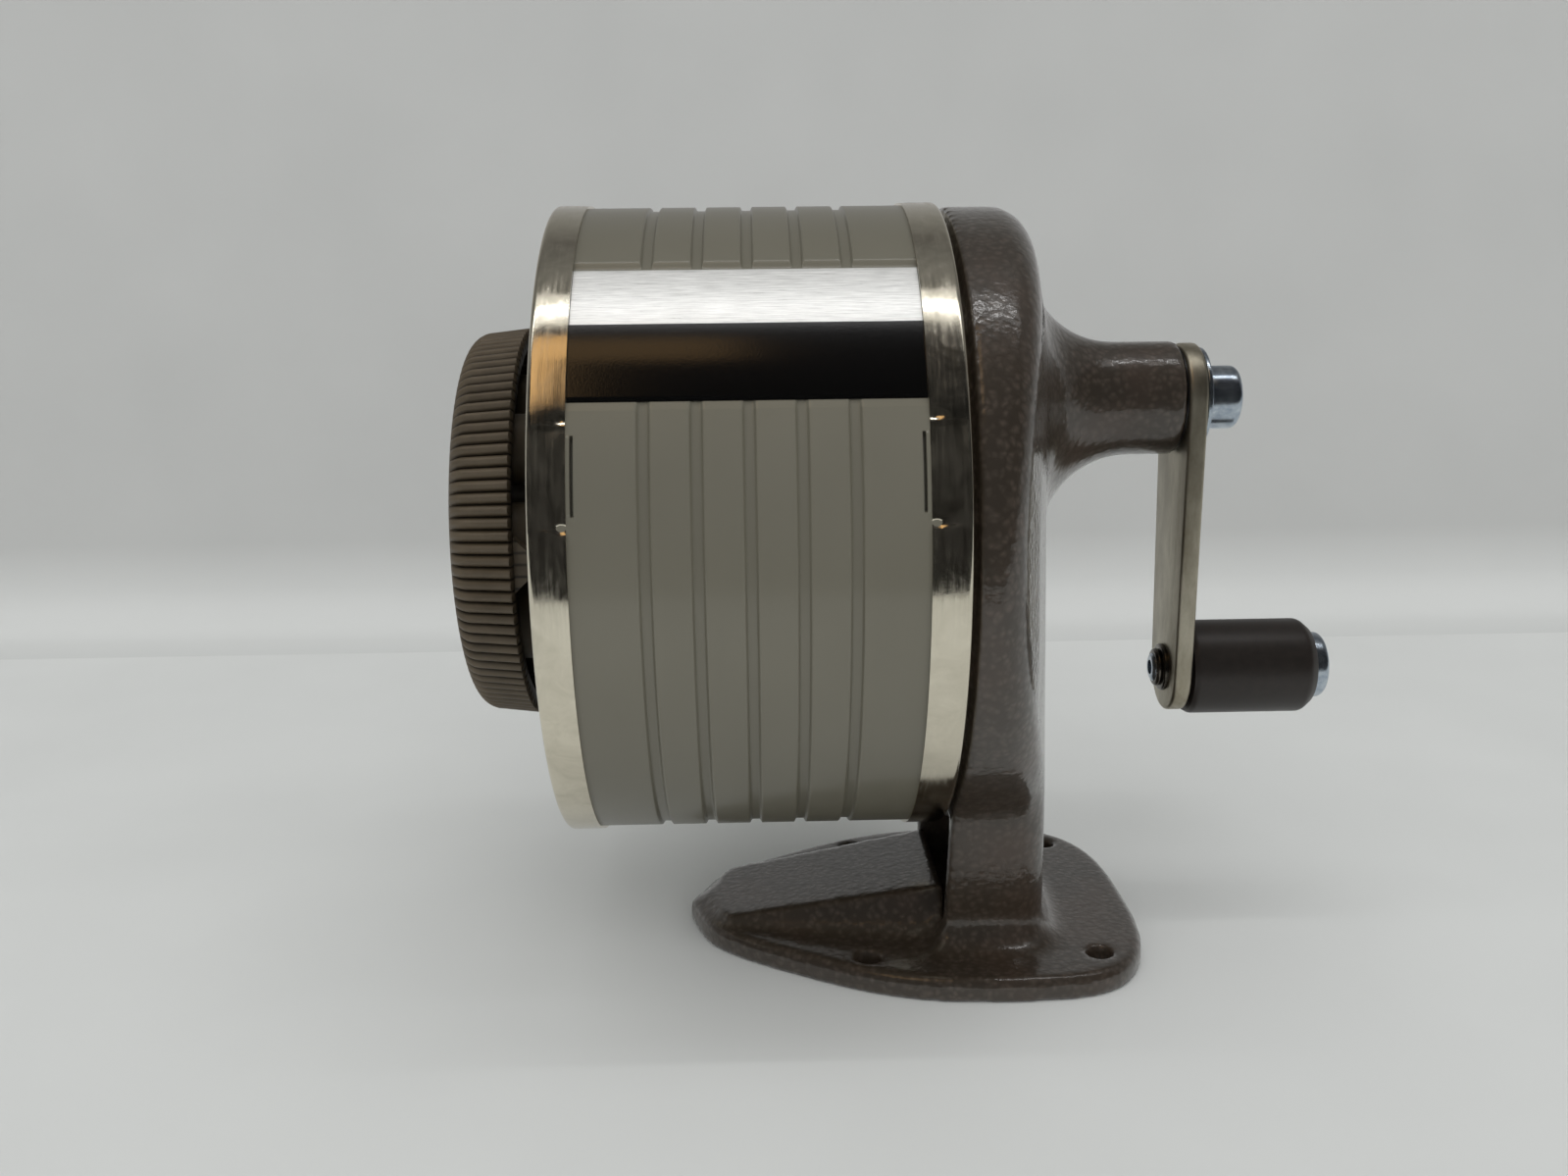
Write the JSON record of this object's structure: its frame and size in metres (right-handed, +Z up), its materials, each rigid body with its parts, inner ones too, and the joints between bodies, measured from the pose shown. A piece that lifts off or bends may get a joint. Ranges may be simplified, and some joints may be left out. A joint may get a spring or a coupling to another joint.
{
  "type": "pencil sharpener",
  "caption": "Crank pencil sharpener with a geared cutter head, a pull-off shavings drum, a turning pencil-size dial and a cast screw-down stand.",
  "frame": {"origin": "centre of the four screw holes, in the plane of the base's underside", "axes": "+X along the crank shaft towards the crank (the pencil goes in along +X), +Z up"},
  "size_m": [0.1482, 0.106, 0.1284],
  "materials": {
    "hammertone_casting": "glossy brown hammertone enamel on a casting",
    "drum_paint": "satin taupe enamel on pressed sheet steel",
    "nickel_sheet": "bright nickel plate with fine turned scratches",
    "label_aluminium": "bright brushed plate with a satin black enamel band along its lower half, bare of text",
    "black_plate": "satin black on sheet steel",
    "dial_plastic": "satin brown moulded plastic",
    "handle_plastic": "satin dark brown moulded plastic",
    "arm_steel": "nickel-plated flat bar, lightly streaked",
    "zinc_steel": "bright zinc plate",
    "gear_steel": "machined steel, oiled",
    "cutter_steel": "ground hardened steel",
    "frame_metal": "plain casting, lightly machined",
    "bronze": "sintered bronze",
    "spring_steel": "blued spring strip"
  },
  "bodies": {
    "stand": {"stand_casting": "hammertone_casting", "front_bush": "bronze", "rear_bush": "bronze", "ring_gear": "gear_steel", "gear_screws": "zinc_steel"},
    "receptacle": {"drum_shell": "drum_paint", "label_plate": "label_aluminium", "front_cap": "nickel_sheet", "rear_cap": "nickel_sheet", "front_plate": "black_plate", "pencil_guide": "black_plate", "dial_stud": "zinc_steel", "dial_washer": "gear_steel", "detent_spring": "spring_steel"},
    "dial": {"selector_dial": "dial_plastic"},
    "cutter_head": {"cutter_frame": "frame_metal", "crank_shaft": "gear_steel", "cutter_axles": "gear_steel", "thrust_washer": "zinc_steel", "crank_arm": "arm_steel", "crank_washer": "zinc_steel", "crank_bolt": "zinc_steel", "handle_screw": "zinc_steel", "handle_nut": "zinc_steel"},
    "upper_cutter": {"cutter_a": "cutter_steel"},
    "lower_cutter": {"cutter_b": "cutter_steel"},
    "handle": {"handle_knob": "handle_plastic"}
  },
  "joints": [
    {"name": "drum_pull", "type": "slide", "parent": "stand", "child": "receptacle", "axis": [-1, 0, 0], "range_m": [0, 0.065]},
    {"name": "dial_turn", "type": "hinge", "parent": "receptacle", "child": "dial", "pos_m": [-0.08, 0, 0.0754], "axis": [1, 0, 0], "continuous": true},
    {"name": "crank_turn", "type": "hinge", "parent": "stand", "child": "cutter_head", "pos_m": [0.02, 0, 0.0953], "axis": [1, 0, 0], "continuous": true},
    {"name": "upper_cutter_spin", "type": "hinge", "parent": "cutter_head", "child": "upper_cutter", "pos_m": [-0.0175, 0, 0.1012], "axis": [0.9893, 0, -0.1461], "continuous": true},
    {"name": "lower_cutter_spin", "type": "hinge", "parent": "cutter_head", "child": "lower_cutter", "pos_m": [-0.0175, 0, 0.0894], "axis": [0.9893, 0, 0.1461], "continuous": true},
    {"name": "handle_spin", "type": "hinge", "parent": "cutter_head", "child": "handle", "pos_m": [0.05, 0, 0.0472], "axis": [1, 0, 0], "continuous": true}
  ],
  "couplings": [
    {"joint": "upper_cutter_spin", "follows": "crank_turn", "ratio": -2.2222},
    {"joint": "lower_cutter_spin", "follows": "crank_turn", "ratio": -2.2222}
  ]
}
